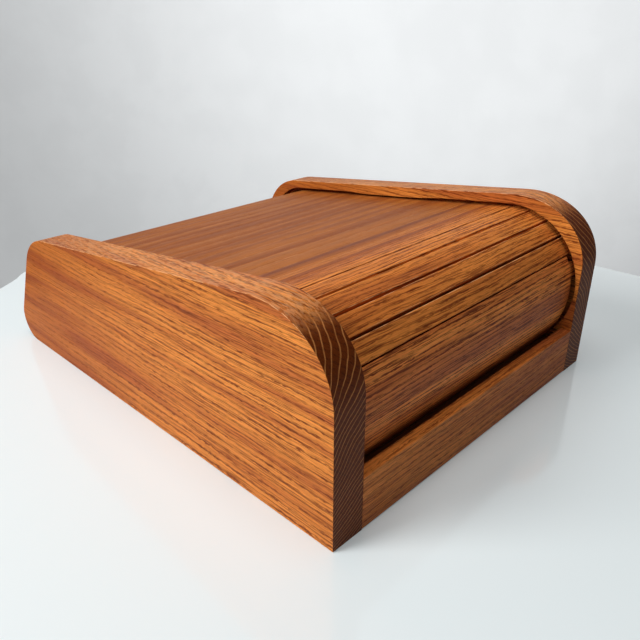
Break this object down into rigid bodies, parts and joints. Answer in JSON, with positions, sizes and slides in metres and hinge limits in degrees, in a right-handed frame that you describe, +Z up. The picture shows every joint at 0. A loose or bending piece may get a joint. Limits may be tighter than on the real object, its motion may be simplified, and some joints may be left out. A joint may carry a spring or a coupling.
{
  "type": "tambour lid box",
  "caption": "Low wooden box with two thick rounded end boards and a slatted roll-back lid that slides in curved grooves over the front and back.",
  "frame": {"origin": "middle of the box's footprint, at the height of the table it stands on", "axes": "+X across the box from end board to end board, +Y from the front to the back, +Z up"},
  "size_m": [0.236, 0.302, 0.1071],
  "materials": {
    "end_board": "satin oiled oak, orange brown, open grain along the board",
    "rail": "satin oiled oak, red brown, grain along the rail",
    "slat": "satin oiled oak, grain along the slat",
    "lead_bar": "satin oiled oak, streaked grain along the bar",
    "inner_board": "plain oiled oak",
    "dowel": "plain beech dowel",
    "cloth": "dark canvas, matt"
  },
  "bodies": {
    "case": {"side_left": "end_board", "side_right": "end_board", "front_rail": "rail", "back_rail": "rail", "floor_panel": "inner_board", "inner_back": "inner_board", "front_rail_dowels": "dowel", "back_rail_dowels": "dowel", "inner_back_dowels": "dowel"},
    "lid_top": {"cloth_top": "cloth", "slat_05": "slat", "slat_06": "slat", "slat_07": "slat", "slat_08": "slat", "slat_09": "slat", "slat_10": "slat", "slat_11": "slat", "slat_12": "slat", "slat_13": "slat", "slat_14": "slat", "slat_15": "slat", "slat_16": "slat", "slat_17": "slat"},
    "lead": {"lead_bar": "lead_bar", "cloth_lead": "cloth"},
    "turning_slat_01": {"slat_01": "slat", "cloth_01": "cloth"},
    "turning_slat_02": {"slat_02": "slat", "cloth_02": "cloth"},
    "turning_slat_03": {"slat_03": "slat", "cloth_03": "cloth"},
    "turning_slat_04": {"slat_04": "slat", "cloth_04": "cloth"},
    "turning_slat_18": {"slat_18": "slat", "cloth_18": "cloth"},
    "turning_slat_19": {"slat_19": "slat", "cloth_19": "cloth"},
    "turning_slat_20": {"slat_20": "slat", "cloth_20": "cloth"},
    "turning_slat_21": {"slat_21": "slat", "cloth_21": "cloth"},
    "tail": {"cloth_tail": "cloth", "slat_22": "slat", "slat_23": "slat", "slat_24": "slat", "slat_25": "slat"}
  },
  "joints": [
    {"name": "lid_travel", "type": "slide", "parent": "case", "child": "lid_top", "axis": [0, 0.9923, -0.1236], "range_m": [0, 0.0448]},
    {"name": "lead_turn", "type": "hinge", "parent": "case", "child": "lead", "pos_m": [0, -0.103, 0.05502], "axis": [-1, 0, 0], "range_deg": [0, 67.81]},
    {"name": "slat_01_turn", "type": "hinge", "parent": "case", "child": "turning_slat_01", "pos_m": [0, -0.10044, 0.04996], "axis": [-1, 0, 0], "range_deg": [0, 59.33]},
    {"name": "slat_02_turn", "type": "hinge", "parent": "case", "child": "turning_slat_02", "pos_m": [0, -0.09679, 0.03262], "axis": [-1, 0, 0], "range_deg": [0, 42.38]},
    {"name": "slat_03_turn", "type": "hinge", "parent": "case", "child": "turning_slat_03", "pos_m": [0, -0.09584, -0.0082], "axis": [-1, 0, 0], "range_deg": [0, 25.43]},
    {"name": "slat_04_turn", "type": "hinge", "parent": "case", "child": "turning_slat_04", "pos_m": [0, -0.11344, -0.21006], "axis": [-1, 0, 0], "range_deg": [0, 8.48]},
    {"name": "slat_18_turn", "type": "hinge", "parent": "case", "child": "turning_slat_18", "pos_m": [0, 0.04, -0.15609], "axis": [-1, 0, 0], "range_deg": [0, 11.14]},
    {"name": "slat_19_turn", "type": "hinge", "parent": "case", "child": "turning_slat_19", "pos_m": [0, 0.06652, -0.00377], "axis": [-1, 0, 0], "range_deg": [0, 33.41]},
    {"name": "slat_20_turn", "type": "hinge", "parent": "case", "child": "turning_slat_20", "pos_m": [0, 0.07627, 0.02601], "axis": [-1, 0, 0], "range_deg": [0, 55.68]},
    {"name": "slat_21_turn", "type": "hinge", "parent": "case", "child": "turning_slat_21", "pos_m": [0, 0.08354, 0.03764], "axis": [-1, 0, 0], "range_deg": [0, 77.95]},
    {"name": "tail_turn", "type": "hinge", "parent": "case", "child": "tail", "pos_m": [0, 0.08705, 0.04042], "axis": [-1, 0, 0], "range_deg": [0, 89.08]}
  ],
  "couplings": [
    {"joint": "lead_turn", "follows": "lid_travel", "rad_per_m": 26.412},
    {"joint": "slat_01_turn", "follows": "lid_travel", "rad_per_m": 23.11},
    {"joint": "slat_02_turn", "follows": "lid_travel", "rad_per_m": 16.507},
    {"joint": "slat_03_turn", "follows": "lid_travel", "rad_per_m": 9.9045},
    {"joint": "slat_04_turn", "follows": "lid_travel", "rad_per_m": 3.3015},
    {"joint": "slat_18_turn", "follows": "lid_travel", "rad_per_m": 4.3376},
    {"joint": "slat_19_turn", "follows": "lid_travel", "rad_per_m": 13.013},
    {"joint": "slat_20_turn", "follows": "lid_travel", "rad_per_m": 21.688},
    {"joint": "slat_21_turn", "follows": "lid_travel", "rad_per_m": 30.363},
    {"joint": "tail_turn", "follows": "lid_travel", "rad_per_m": 34.701}
  ]
}
